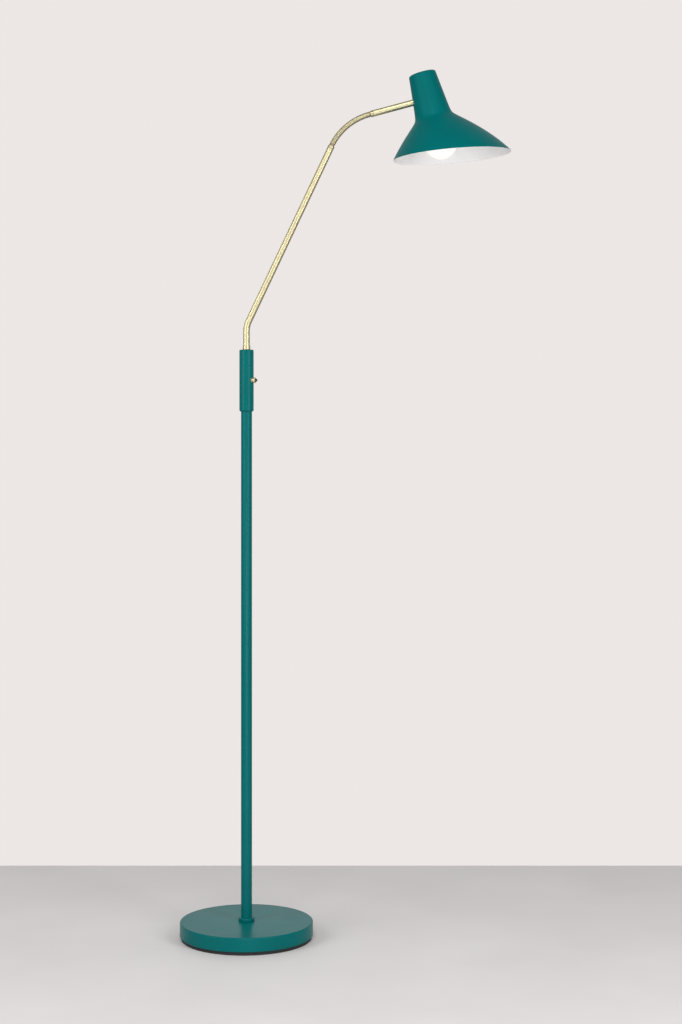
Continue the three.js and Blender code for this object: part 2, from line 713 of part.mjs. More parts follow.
function buildHead() {
  const head = new THREE.Group();
  const along = new THREE.Vector3(Math.cos(rad(UPPER.rise)), 0, Math.sin(rad(UPPER.rise)));
  head.position.copy(neckPoint(1)).addScaledVector(along, UPPER.reach);
  head.rotation.y = -rad(UPPER.rise);
  lamp.add(head);
  add(head, "shade", shadeGeometry(), "paint");
  add(head, "holder_bracket", bracketGeometry(), "steel");
  buildHolder(head);
  buildBulb(head);
}

buildBase();
buildPole();
buildSwitch();
buildStandLead();
buildLowerArm();
buildNeck();
buildHead();

export default lamp;
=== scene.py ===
# Adjustable arm floor lamp: the looks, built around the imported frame.
# Shapes are drawn in millimetres and solid() turns them into metres, in the frame's own axes.
import json
import math

import bmesh
import bpy
from mathutils import Matrix, Vector

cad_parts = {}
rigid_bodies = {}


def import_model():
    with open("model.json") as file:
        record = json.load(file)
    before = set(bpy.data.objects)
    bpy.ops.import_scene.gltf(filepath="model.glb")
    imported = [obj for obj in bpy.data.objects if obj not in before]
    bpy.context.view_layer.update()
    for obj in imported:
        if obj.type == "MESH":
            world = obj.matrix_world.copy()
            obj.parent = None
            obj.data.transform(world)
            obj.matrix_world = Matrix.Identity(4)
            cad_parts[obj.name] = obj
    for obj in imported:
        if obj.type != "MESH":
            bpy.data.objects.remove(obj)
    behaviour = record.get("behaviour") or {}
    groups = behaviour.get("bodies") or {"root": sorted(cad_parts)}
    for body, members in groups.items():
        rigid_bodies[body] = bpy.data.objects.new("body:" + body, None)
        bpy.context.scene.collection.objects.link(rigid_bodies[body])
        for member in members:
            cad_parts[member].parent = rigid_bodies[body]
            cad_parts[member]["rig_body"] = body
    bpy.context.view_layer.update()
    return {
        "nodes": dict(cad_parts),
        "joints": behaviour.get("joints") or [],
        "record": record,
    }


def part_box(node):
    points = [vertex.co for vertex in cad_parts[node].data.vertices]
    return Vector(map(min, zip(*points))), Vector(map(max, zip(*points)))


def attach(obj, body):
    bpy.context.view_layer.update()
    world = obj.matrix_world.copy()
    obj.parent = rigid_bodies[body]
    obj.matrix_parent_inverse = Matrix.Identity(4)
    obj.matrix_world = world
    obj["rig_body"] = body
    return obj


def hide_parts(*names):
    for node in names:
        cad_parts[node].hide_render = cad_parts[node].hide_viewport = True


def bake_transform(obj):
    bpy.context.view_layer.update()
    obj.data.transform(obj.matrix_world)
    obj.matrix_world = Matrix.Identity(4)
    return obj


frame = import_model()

MM = 0.001
NODES = frame["nodes"]
JOINTS = {joint["name"]: joint for joint in frame["joints"]}
SLOT_OF = {part["node"]: part["material_slot"] for part in frame["record"]["subparts"]}
SMOOTH_ANGLE = math.radians(38)

# ---------------------------------------------------------------- driving dimensions, millimetres

FINE = {"base": 192, "shade": 192, "pole": 96, "tube": 64, "small": 48}  # faces per turn
GAP = 0.3  # clearance that touching pieces keep

SHEET = 1.2  # wall of the base cover
NIPPLE = {"radius": 4.7, "bore": 3.0, "pitch": 1.0, "depth": 0.45}  # M10 hollow threaded tube
NUT_HOLE = 5.0
TUBE_WALL = 1.0
LEAD_RADIUS = 2.3
ELBOW_RADIUS = 40.0

NECK = {
    "radius": 5.2, "bore": 3.0, "pitch": 2.7, "groove": 0.66, "steps": 12, "buried": 3.0,
    "lip": 2.2, "upper_waist": 2.2, "lower_waist": 4.6, "waist_radius": 4.6,
}

SHADE = {
    "top_radius": 24.6, "neck_angle": 5.9, "edge": 4.0, "neck_length": 83.6, "blend": 5.2,
    "flare_start": 50.6, "flare_end": 28.4, "flare_length": 104.2, "wall": 1.0,
    "rim_drop": 109.8, "rim_tilt": 10.4, "top": 47.68,
}
SEAT = {"face": 28.6, "recess": 6.4, "pad": 6.9, "back": 26.5}  # where the arm tube meets the shade
BULB = {"radius": 30.0, "centre": -84.5, "shoulder": 38.0, "neck": 12.2, "top": -20.0, "wall": 0.8}
BULB_THREAD_PITCH = 3.6

CORD_BUSH = {"bore": 2.9, "barrel": 4.4, "hole": 4.7}
WEIGHT = {
    "rim": 7.5, "plate_top": 20.3, "boss": 29, "boss_foot": 31, "well": 26, "well_top": 22.5,
    "channel": 5, "channel_start": 23, "channel_end": 125, "channel_top": 17.9,
}
SLEEVE = {
    "roof": 8, "grip": 34, "foot_inset": 1.6, "foot": 2.2, "mouth": 7, "chamber": 11,
    "switch_hole": 4.2, "screw_hole": 2.3, "pin_hole": 1.5,
}
SET_SCREW = {"radius": 2, "tip": 1.4, "cone": 0.6, "key": 2.0, "socket": 1.25, "socket_depth": 1.4}
SWIVEL_BUSH = {"barrel": 6.7, "flange": 1}
STOP_PIN_RADIUS = 1.2

# The switch lies along its own axis, and its heights are distances from the pole's middle.
SWITCH_BODY = {"low": (-6.5, -6, -8.5), "high": (6.5, 6, 6.2)}
TERMINAL = {
    "near": 6.8, "far": 10.8, "offset": 3, "half": 1.5, "low": -3, "high": -2.2, "eye": 9.3, "hole": 0.7,
}
BARREL = {"bore": 2.8, "radius": 3.9, "low": 6.5, "high": 17.4, "pitch": 0.75, "depth": 0.3}
BEZEL = {"hole": 4.2, "radius": 5.1, "bore": 2.9, "low": 13.3, "step": 17.7, "top": 21.0, "knurls": 24}
BUTTON = {"radius": 2.5, "low": 8.6, "top": 24}

TUBE_RADIUS = 6.0
FERRULE = {"lip": 5, "spigot": 4.7, "end": 18, "bore": 3.4, "seat": 3.4, "play": 0.12}
HEAD_FIXING = {"nipple_run": 18, "inside": 20.3, "washer": 8.3}

BRACKET = {"face": -26.2, "top": 23.2, "thick": 1.5, "half_width": 6}
HOLDER = {"radius": 18.25, "cap_bore": 16.4, "cap_top": 21.4, "body_low": -36, "body_bore": 14.9}
BULB_CAP = {"low": -34.5, "high": -16.0, "bore": 12.5, "radius": 12.9, "wave": 0.3}

# ---------------------------------------------------------------- places worked out from the frame


def corners(node):
    """Lowest and highest corner of a CAD node, in millimetres."""
    low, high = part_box(node)
    return Vector(low) / MM, Vector(high) / MM


def joint_place(name):
    return Vector(JOINTS[name]["pos_m"]) / MM


def placed(origin, axis, side):
    """A matrix that puts local +Z along axis and local +Y along side, at origin."""
    z = Vector(axis).normalized()
    y = Vector(side).normalized()
    x = y.cross(z)
    matrix = Matrix((x, y, z)).transposed().to_4x4()
    matrix.translation = origin
    return matrix


WORLD_Y = Vector((0, 1, 0))
WORLD_Z = Vector((0, 0, 1))

NECK_JOINTS = [joint for joint in frame["joints"] if joint["name"].startswith("neck_")]
NECK_PLACES = [joint_place(joint["name"]) for joint in NECK_JOINTS]

HEAD_AXIS = Vector(JOINTS["head_turn"]["axis"]).normalized()
HEAD_UP = HEAD_AXIS.cross(WORLD_Y)
HEAD = placed(joint_place("head_turn"), HEAD_UP, WORLD_Y)

SWITCH_AXIS = -Vector(JOINTS["switch_press"]["axis"]).normalized()
SWITCH_HEIGHT = sum(corners("switch_bezel"), Vector()).z / 2
SWITCH = placed(Vector((0, 0, SWITCH_HEIGHT)), SWITCH_AXIS, WORLD_Z.cross(SWITCH_AXIS))


def circle_through(a, b, c):
    """Centre, in the XZ plane, of the circle through three points."""
    rows = Matrix(((b.x - a.x, b.z - a.z), (c.x - b.x, c.z - b.z)))
    right = Vector(((b.dot(b) - a.dot(a)) / 2, (c.dot(c) - b.dot(b)) / 2))
    x, z = rows.inverted() @ right
    return Vector((x, 0, z))


NECK_CENTRE = circle_through(NECK_PLACES[0], NECK_PLACES[len(NECK_PLACES) // 2], NECK_PLACES[-1])
NECK_ARM = NECK_PLACES[0] - NECK_CENTRE  # from the centre of the neck's arc out to its start
NECK_BEND = NECK_ARM.angle(NECK_PLACES[-1] - NECK_CENTRE)
NECK_LENGTH = NECK_ARM.length * NECK_BEND
ARM_LEAN = math.atan2(NECK_ARM.z, -NECK_ARM.x)  # of the lower arm, from the vertical
ELBOW_HEIGHT = NECK_PLACES[0].z - NECK_PLACES[0].x / math.tan(ARM_LEAN)

# ---------------------------------------------------------------- drawing


def rounded(outline, loop=True, steps=4):
    """An outline of (radius, height) corners. A third number rounds that corner.

    A guard point past each end of the round keeps the surface beside it flat when it is shaded smooth.
    """
    drawn = []
    last = len(outline) - 1
    for i, (x, y, *fillet) in enumerate(outline):
        here = Vector((x, y))
        if not fillet or (not loop and i in (0, last)):
            drawn.append(here)
            continue
        before = Vector(outline[i - 1][:2]) - here
        after = Vector(outline[(i + 1) % len(outline)][:2]) - here
        half = before.angle(after) / 2
        room = 0.48 * min(before.length, after.length)
        run = min(fillet[0] / math.tan(half), 0.9 * room)
        guard = run + min(0.25 * fillet[0], 0.5 * (room - run))
        before.normalize()
        after.normalize()
        centre = here + (before + after).normalized() * run / math.cos(half)
        start = here + before * run - centre
        end = here + after * run - centre
        first = math.atan2(start.y, start.x)
        turn = (math.atan2(end.y, end.x) - first + math.pi) % math.tau - math.pi
        drawn.append(here + before * guard)
        for step in range(steps + 1):
            angle = first + turn * step / steps
            drawn.append(centre + start.length * Vector((math.cos(angle), math.sin(angle))))
        drawn.append(here + after * guard)
    return drawn


def refined(outline, step, loop=True):
    """The same outline, with no stretch longer than step along the axis."""
    fine = []
    pairs = list(zip(outline, outline[1:] + outline[:1]))
    if not loop:
        pairs.pop()
    for here, there in pairs:
        count = max(1, math.ceil(abs(there.y - here.y) / step - 1e-6))
        fine += [here.lerp(there, i / count) for i in range(count)]
    if not loop:
        fine.append(outline[-1])
    return fine


class Shape:
    """Points in millimetres and faces. A point's grain is its place on the straight piece, for textures."""

    def __init__(self):
        self.points = []
        self.faces = []
        self.grain = []
        self.looks = []

    def skin(self, rings, loop=False, look=0, grain=None):
        """Joins a run of rings with faces. A one-point ring is a tip, and look may be a rule by ring."""
        starts = []
        for i, ring in enumerate(rings):
            starts.append(len(self.points))
            self.points += ring
            self.grain += grain[i] if grain else ring
        links = [(i, i + 1) for i in range(len(rings) - 1)]
        if loop:
            links.append((len(rings) - 1, 0))
        for a, b in links:
            sides = max(len(rings[a]), len(rings[b]))
            for i in range(sides):
                j = (i + 1) % sides
                quad = [
                    starts[a] + i % len(rings[a]), starts[a] + j % len(rings[a]),
                    starts[b] + j % len(rings[b]), starts[b] + i % len(rings[b]),
                ]
                self.faces.append(list(dict.fromkeys(quad)))
                self.looks.append(look(a) if callable(look) else look)
        if not loop:
            for start, ring in ((starts[0], rings[0]), (starts[-1], rings[-1])):
                if len(ring) > 2:
                    self.faces.append([start + i for i in range(len(ring))])
                    self.looks.append(0)
        return self


def turned(outline, sides, relief=None, path=None, loop=True, look=0):
    """An outline turned about +Z. relief(radius, height, turn) changes the radius, path bends the axis."""
    flat = []
    for radius, along in outline:
        ring = []
        for i in range(sides if radius > 1e-6 else 1):
            turn = math.tau * i / sides
            r = relief(radius, along, turn) if relief else radius
            ring.append(Vector((r * math.cos(turn), r * math.sin(turn), along)))
        flat.append(ring)
    rings = [[path(point) for point in ring] for ring in flat] if path else flat
    return Shape().skin(rings, loop, look, flat)


def tube(bore, radius, low, high, edge=0.3):
    """The outline of a ring or pipe with softened edges."""
    return rounded([(bore, low, edge), (radius, low, edge), (radius, high, edge), (bore, high, edge)])


def rod(radius, low, high):
    return [Vector((0, low)), Vector((radius, low)), Vector((radius, high)), Vector((0, high))]


def extruded(outline, low, high):
    """A flat outline of (x, z) corners, made thick along Y."""
    rings = [[Vector((x, y, z)) for x, z in outline] for y in (low, high)]
    return Shape().skin(rings)


def block(low, high):
    side = [(low[0], low[2]), (high[0], low[2]), (high[0], high[2]), (low[0], high[2])]
    return extruded(side, low[1], high[1])


def hexagon(across_flats, turn):
    """Distance from the middle of a hexagon to its side, in one direction."""
    sixth = math.pi / 3
    return across_flats / 2 / math.cos((turn % sixth) - sixth / 2)


def nut(across_flats, low, high, hole=NUT_HOLE):
    """A hexagon nut whose corners are turned off to a cone at both faces."""
    corner = across_flats / math.sqrt(3)
    face = across_flats / 2 - 0.3
    heights = [low + (high - low) * i / 10 for i in range(11)]
    outline = [Vector((hole + 0.4, low))] + [Vector((corner, z)) for z in heights]
    outline += [Vector((hole + 0.4, high)), Vector((hole, high - 0.4)), Vector((hole, low + 0.4))]

    def relief(radius, along, turn):
        if radius < corner:
            return radius
        cone = face + 1.75 * min(along - low, high - along)
        return min(hexagon(across_flats, turn), cone)

    return turned(outline, FINE["small"], relief)


def thread(pitch, depth, above, low, high):
    """A relief that winds a V thread around every radius larger than above, between two heights."""
    def relief(radius, along, turn):
        if radius <= above:
            return radius
        fade = min(1, max(0, (along - low) / pitch), max(0, (high - along) / pitch))
        phase = (along / pitch - turn / math.tau) % 1
        return radius - depth * fade * abs(2 * phase - 1)
    return relief


def threaded_tube(low, high):
    """A hollow M10 tube with its thread."""
    n = NIPPLE
    outline = rounded([
        (n["bore"], low), (n["radius"], low, 0.4), (n["radius"], high, 0.4), (n["bore"], high),
    ])
    relief = thread(n["pitch"], n["depth"], n["bore"] + 0.5, low, high)
    return turned(refined(outline, n["pitch"] / 5), FINE["small"] // 2, relief)


def solid(name, shape, place=None, looks=()):
    """A Blender object in metres from a shape in millimetres."""
    place = place or Matrix()
    mesh = bpy.data.meshes.new(name)
    mesh.from_pydata([(place @ point) * MM for point in shape.points], [], shape.faces)
    attribute = mesh.attributes.new("grain", "FLOAT_VECTOR", "POINT")
    attribute.data.foreach_set("vector", [x * MM for point in shape.grain for x in point])
    for look in looks:
        mesh.materials.append(look)
    mesh.polygons.foreach_set("material_index", shape.looks)
    tidy = bmesh.new()
    tidy.from_mesh(mesh)
    bmesh.ops.recalc_face_normals(tidy, faces=tidy.faces)
    tidy.to_mesh(mesh)
    tidy.free()
    mesh.polygons.foreach_set("use_smooth", [True] * len(mesh.polygons))
    mesh.set_sharp_from_angle(angle=SMOOTH_ANGLE)
    obj = bpy.data.objects.new(name, mesh)
    bpy.context.scene.collection.objects.link(obj)
    return obj


def carve(obj, tool, place=None, operation="DIFFERENCE"):
    """Cuts a shape out of an object, or joins it on."""
    other = solid("carving_tool", tool, place)
    change = obj.modifiers.new("carve", "BOOLEAN")
    change.operation = operation
    change.solver = "EXACT"
    change.object = other
    bpy.context.view_layer.objects.active = obj
    with bpy.context.temp_override(object=obj, active_object=obj):
        bpy.ops.object.modifier_apply(modifier=change.name)
    bpy.data.objects.remove(other)
    obj.data.set_sharp_from_angle(angle=SMOOTH_ANGLE)
    return obj


def soften(obj, width, segments=2):
    """Rounds the sharp edges of a plain-sided piece."""
    tidy = bmesh.new()
    tidy.from_mesh(obj.data)
    sharp = [edge for edge in tidy.edges if edge.is_manifold and edge.calc_face_angle() > SMOOTH_ANGLE]
    bmesh.ops.bevel(
        tidy, geom=sharp, offset=width * MM, segments=segments,
        affect="EDGES", profile=0.5, clamp_overlap=True,
    )
    tidy.to_mesh(obj.data)
    tidy.free()
    obj.data.set_sharp_from_angle(angle=SMOOTH_ANGLE)
    return obj


# ---------------------------------------------------------------- materials


class Recipe:
    """Builds one procedural material around its Principled shader."""

    def __init__(self, name, grained=False):
        self.material = bpy.data.materials.new(name)
        self.material.use_nodes = True
        self.tree = self.material.node_tree
        self.shader = self.tree.nodes["Principled BSDF"]
        if grained:
            self.place = self.add("ShaderNodeAttribute", attribute_name="grain").outputs["Vector"]
        else:
            self.place = self.add("ShaderNodeTexCoord").outputs["Object"]

    def add(self, kind, inputs=None, **settings):
        node = self.tree.nodes.new(kind)
        for key, value in settings.items():
            setattr(node, key, value)
        for socket, value in (inputs or {}).items():
            self.give(node.inputs[socket], value)
        return node

    def give(self, socket, value):
        if isinstance(value, bpy.types.NodeSocket):
            self.tree.links.new(value, socket)
        else:
            socket.default_value = value

    def noise(self, size, detail=2.0, stretch=None):
        """Noise whose features are about size millimetres, stretched along the axes."""
        place = self.place
        if stretch:
            place = self.add("ShaderNodeVectorMath", {0: place, 1: stretch}, operation="MULTIPLY").outputs[0]
        inputs = {"Vector": place, "Scale": 1 / (size * MM), "Detail": detail}
        return self.add("ShaderNodeTexNoise", inputs).outputs["Fac"]

    def between(self, value, low, high, start=0.3, end=0.7):
        inputs = {"Value": value, "From Min": start, "From Max": end, "To Min": low, "To Max": high}
        return self.add("ShaderNodeMapRange", inputs).outputs["Result"]

    def mix(self, share, a, b):
        node = self.add("ShaderNodeMix", data_type="RGBA")
        self.give(node.inputs[0], share)
        self.give(node.inputs[6], a)
        self.give(node.inputs[7], b)
        return node.outputs[2]

    def product(self, a, b):
        return self.add("ShaderNodeMath", {0: a, 1: b}, operation="MULTIPLY").outputs[0]

    def edges(self, start=0.52, end=0.6):
        """Near 1 on convex edges, broken up by noise."""
        point = self.add("ShaderNodeNewGeometry").outputs["Pointiness"]
        return self.product(self.between(point, 0, 1, start, end), self.between(self.noise(3, 3), 0.3, 1))

    def crevices(self, start=0.42, end=0.494):
        """Near 1 where the surface is hollow, as in a groove."""
        point = self.add("ShaderNodeNewGeometry").outputs["Pointiness"]
        return self.between(point, 1, 0, start, end)

    def bump(self, height, depth, strength=1.0):
        """Turns height into relief about depth millimetres deep."""
        inputs = {"Height": height, "Distance": depth * MM, "Strength": strength}
        self.give(self.shader.inputs["Normal"], self.add("ShaderNodeBump", inputs).outputs["Normal"])

    def finish(self, **values):
        for key, value in values.items():
            self.give(self.shader.inputs[key.replace("_", " ")], value)
        return self.material


def colour(r, g, b):
    return (r, g, b, 1.0)


def paint(name, deep, pale, edge, rough, shine):
    """Satin powder coat: a fine orange peel, faint drift in tone, and a painted highlight on thin-coated
    edges.
    """
    r = Recipe(name)
    tone = r.mix(r.between(r.noise(70, 4), 0, 1), deep, pale)
    # Convex edges are painted lighter: a painted highlight, where the coat is also thin.
    tone = r.mix(r.product(r.edges(), 0.5), tone, edge)
    r.bump(r.noise(2.2, 2), 0.005)
    gloss = r.between(r.noise(40, 3), rough - 0.02, rough + 0.02)
    return r.finish(Base_Color=tone, Roughness=gloss, Specular_IOR_Level=shine)


def metal(name, deep, pale, edge, rough, streak=22.0):
    """Lacquered metal, finely brushed along its length, paler on convex edges, with painted shade and tarnish
    in its grooves.
    """
    r = Recipe(name, grained=True)
    brushed = r.noise(1.2, 2, (1, 1, 1 / streak))
    tone = r.mix(r.between(r.noise(14, 4), 0, 1), deep, pale)
    tone = r.mix(r.product(r.edges(0.6, 0.7), 0.4), tone, edge)
    # Grooves and hollows are painted darker: painted shade, with some tarnish.
    tone = r.mix(r.product(r.crevices(), 0.75), tone, GROOVE_SHADE_AND_TARNISH)
    r.bump(brushed, 0.0015)
    gloss = r.between(brushed, rough - 0.03, rough + 0.03)
    return r.finish(Base_Color=tone, Roughness=gloss, Metallic=1.0)


def cast(name, deep, pale, grain, depth, rough, metallic=0.0):
    """A rough matte surface: cast iron, foam or rubber."""
    r = Recipe(name)
    pits = r.noise(grain, 5)
    tone = r.mix(r.between(pits, 0, 1), deep, pale)
    r.bump(pits, depth)
    gloss = r.between(r.noise(6, 3), rough - 0.08, rough + 0.05)
    return r.finish(Base_Color=tone, Roughness=gloss, Metallic=metallic)


def moulded(name, deep, pale, rough, grain=0.8, depth=0.02, **more):
    """Moulded plastic, porcelain or enamel: even, with a faint skin texture."""
    r = Recipe(name)
    tone = r.mix(r.between(r.noise(20, 3), 0, 1), deep, pale)
    r.bump(r.noise(grain, 2), depth)
    gloss = r.between(r.noise(7, 4), rough - 0.05, rough + 0.07)
    return r.finish(Base_Color=tone, Roughness=gloss, **more)


GROOVE_SHADE_AND_TARNISH = colour(0.16, 0.13, 0.08)  # painted shade in the grooves of bare metal, with the tarnish that gathers there
# Deep and pale teal, then the lighter edge colour that paints a highlight on convex edges.
TEAL = (colour(0.0, 0.1, 0.101), colour(0.0, 0.111, 0.112), colour(0.0, 0.165, 0.165))
WHITE = (colour(0.87, 0.868, 0.868), colour(0.9, 0.898, 0.898))

LOOKS = {
    "green_paint": paint("green_paint", *TEAL, 0.3, 0.09),
    "shade_paint": paint("shade_paint", *TEAL, 0.4, 0.03),
    "brass": metal(
        "brass", colour(0.545, 0.49, 0.305), colour(0.575, 0.52, 0.325), colour(0.69, 0.63, 0.44), 0.44, 60
    ),
    "neck_brass": metal(
        "neck_brass", colour(0.44, 0.395, 0.25), colour(0.48, 0.435, 0.28), colour(0.6, 0.55, 0.38), 0.45
    ),
    "brass_fittings": metal(
        "brass_fittings", colour(0.66, 0.54, 0.3), colour(0.78, 0.66, 0.4), colour(0.9, 0.8, 0.55), 0.24, 4
    ),
    "plated_steel": metal(
        "plated_steel", colour(0.5, 0.51, 0.52), colour(0.62, 0.63, 0.64), colour(0.8, 0.8, 0.8), 0.34, 4
    ),
    "cast_iron": cast("cast_iron", colour(0.05, 0.05, 0.052), colour(0.1, 0.1, 0.1), 1.6, 0.35, 0.75, 0.5),
    "pad_foam": cast("pad_foam", colour(0.008, 0.008, 0.009), colour(0.02, 0.02, 0.021), 0.9, 0.25, 0.9),
    "black_plastic": moulded(
        "black_plastic", colour(0.012, 0.011, 0.01), colour(0.02, 0.018, 0.017), 0.3, Coat_Weight=0.2
    ),
    "lead_jacket": moulded("lead_jacket", colour(0.016, 0.016, 0.016), colour(0.026, 0.026, 0.026), 0.55),
    "porcelain": moulded(
        "porcelain", colour(0.72, 0.69, 0.62), colour(0.8, 0.77, 0.71), 0.25, Coat_Weight=0.4
    ),
    "opal_glass": moulded(
        "opal_glass", colour(0.90, 0.88, 0.84), colour(0.93, 0.915, 0.88), 0.28, 2.0, 0.01,
        Coat_Weight=0.5, Emission_Color=colour(1.0, 0.95, 0.87), Emission_Strength=0.45,
    ),
}
# The neck's bare stretch beside each ferrule is painted dark as painted shadow; the shade's inside is white
# enamel.
NECK_WAIST_SHADE = metal(
    "neck_waist_shade", colour(0.22, 0.185, 0.115), colour(0.26, 0.22, 0.14), colour(0.4, 0.35, 0.24), 0.5
)
ENAMEL = moulded("white_enamel", *WHITE, 0.42, 1.1, 0.03)


def stand_in(node, made, place=None):
    """A detailed piece that rides where its CAD node rides and is shown in its place."""
    look = LOOKS[SLOT_OF[node]]
    obj = made if isinstance(made, bpy.types.Object) else solid(f"{node}_fine", made, place, [look])
    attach(obj, NODES[node]["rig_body"])
    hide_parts(node)
    return obj


def draft(node, shape, place=None):
    """A detailed piece that is carved or softened before it stands in."""
    return solid(f"{node}_fine", shape, place, [LOOKS[SLOT_OF[node]]])


# ---------------------------------------------------------------- base


def build_base():
    low, high = corners("base_pad")
    pad = rounded([(0, low.z), (high.x, low.z, 0.5), (high.x, high.z, 0.5), (0, high.z)], loop=False)
    stand_in("base_pad", turned(pad, FINE["base"], loop=False))

    low, high = corners("base_cover")
    inside = high.x - SHEET
    roof = high.z - SHEET
    cover = rounded([
        (inside, low.z, 0.5), (high.x, low.z, 0.5), (high.x, high.z, 2.2),
        (NUT_HOLE, high.z), (NUT_HOLE, roof), (inside, roof, 1.0),
    ], steps=6)
    shell = draft("base_cover", turned(cover, FINE["base"]))
    bush_low, bush_high = corners("base_cord_bush")
    inlet = placed(Vector((0, 0, (bush_low.z + bush_high.z) / 2)), WORLD_Y, WORLD_Z)
    drill = rod(CORD_BUSH["hole"], bush_low.y, bush_high.y + 5)
    carve(shell, turned(drill, FINE["small"], loop=False), inlet)
    stand_in("base_cover", shell)

    flange = bush_high.z - inlet.translation.z
    face = high.x + GAP
    bore, barrel = CORD_BUSH["bore"], CORD_BUSH["barrel"]
    bush = rounded([
        (bore, bush_low.y, 0.3), (barrel, bush_low.y, 0.3), (barrel, face), (flange, face, 0.2),
        (flange - 0.5, bush_high.y, 0.5), (bore, bush_high.y, 0.6),
    ])
    stand_in("base_cord_bush", turned(bush, FINE["small"]), inlet)

    low, high = corners("base_weight")
    w = WEIGHT
    rim = high.x - w["rim"]
    casting = rounded([
        (NUT_HOLE, w["well_top"]), (w["well"], w["well_top"], 1.0), (w["well"], low.z, 1.0),
        (high.x, low.z, 1.5), (high.x, high.z, 1.5), (rim, high.z, 1.0), (rim - 2, w["plate_top"], 1.0),
        (w["boss_foot"], w["plate_top"], 1.0), (w["boss"], high.z, 1.0), (NUT_HOLE, high.z),
    ])
    weight = draft("base_weight", turned(casting, FINE["base"]))
    channel_low = (-w["channel"], w["channel_start"], low.z - 1)
    carve(weight, block(channel_low, (w["channel"], w["channel_end"], w["channel_top"])))
    stand_in("base_weight", weight)

    low, high = corners("base_nipple")
    stand_in("base_nipple", threaded_tube(low.z, high.z))
    low, high = corners("base_washer")
    stand_in("base_washer", turned(tube(NUT_HOLE, high.x, low.z, high.z), FINE["small"]))
    low, high = corners("base_nut")
    stand_in("base_nut", nut(17, low.z, high.z))


# ---------------------------------------------------------------- pole and sleeve


def build_pole():
    low, high = corners("pole")
    bore = high.x - 1.2
    stand_in("pole", turned(tube(bore, high.x, low.z, high.z, 0.25), FINE["pole"]))
    plug_low, plug_high = corners("pole_foot_plug")
    stand_in("pole_foot_plug", turned(tube(NUT_HOLE, plug_high.x, plug_low.z, plug_high.z), FINE["small"]))

    slide = high.x + GAP
    low, high = corners("foot_collar")
    collar = rounded([
        (slide, low.z), (high.x, low.z, 0.8), (high.x, high.z, 1.6), (slide, high.z, 0.3),
    ], steps=6)
    stand_in("foot_collar", turned(collar, FINE["pole"]))

    low, high = corners("sleeve")
    s = SLEEVE
    roof = high.z - s["roof"]
    grip_top = low.z + s["grip"]
    sleeve = rounded([
        (slide, low.z, 0.3), (high.x - s["foot_inset"], low.z, 0.5), (high.x, low.z + s["foot"], 0.8),
        (high.x, high.z, 1.8), (s["mouth"], high.z, 0.4), (s["mouth"], roof),
        (s["chamber"], roof), (s["chamber"], grip_top), (slide, grip_top),
    ], steps=6)
    body = draft("sleeve", turned(sleeve, FINE["pole"]))
    carve(body, turned(rod(s["switch_hole"], 8, 16), FINE["small"], loop=False), SWITCH)
    screw_low, screw_high = corners("sleeve_set_screw")
    screw = placed(Vector((0, 0, (screw_low.z + screw_high.z) / 2)), WORLD_Y, WORLD_Z)
    carve(body, turned(rod(s["screw_hole"], 9, 16), FINE["small"], loop=False), screw)
    pin_low, pin_high = corners("swivel_stop_pin")
    pin = Matrix.Translation(Vector((0, (pin_low.y + pin_high.y) / 2, 0)))
    carve(body, turned(rod(s["pin_hole"], roof - 1, roof + 4), FINE["small"] // 2, loop=False), pin)
    stand_in("sleeve", body)

    def socket(radius, along, turn):
        return min(hexagon(t["key"], turn), radius) if radius < t["socket"] + 0.05 else radius

    t = SET_SCREW
    floor = screw_high.y - t["socket_depth"]
    tip = [
        (0, screw_low.y), (t["tip"], screw_low.y), (t["radius"], screw_low.y + t["cone"]),
        (t["radius"], screw_high.y, 0.2), (t["socket"], screw_high.y),
        (t["socket"] - 0.05, floor), (0, floor),
    ]
    stand_in("sleeve_set_screw", turned(rounded(tip, loop=False), FINE["small"], socket, loop=False), screw)

    low, high = corners("swivel_bush")
    barrel, flange_top = SWIVEL_BUSH["barrel"], low.z + SWIVEL_BUSH["flange"]
    bush = rounded([
        (NUT_HOLE, low.z), (high.x, low.z, 0.2), (high.x, flange_top), (barrel, flange_top),
        (barrel, high.z, 0.3), (NUT_HOLE, high.z, 0.3),
    ])
    stand_in("swivel_bush", turned(bush, FINE["small"]))
    wide = STOP_PIN_RADIUS
    pin_shape = rounded([
        (0, pin_low.z), (wide, pin_low.z, 0.3), (wide, pin_high.z, 0.3), (0, pin_high.z),
    ], loop=False)
    stand_in("swivel_stop_pin", turned(pin_shape, FINE["small"] // 2, loop=False), pin)


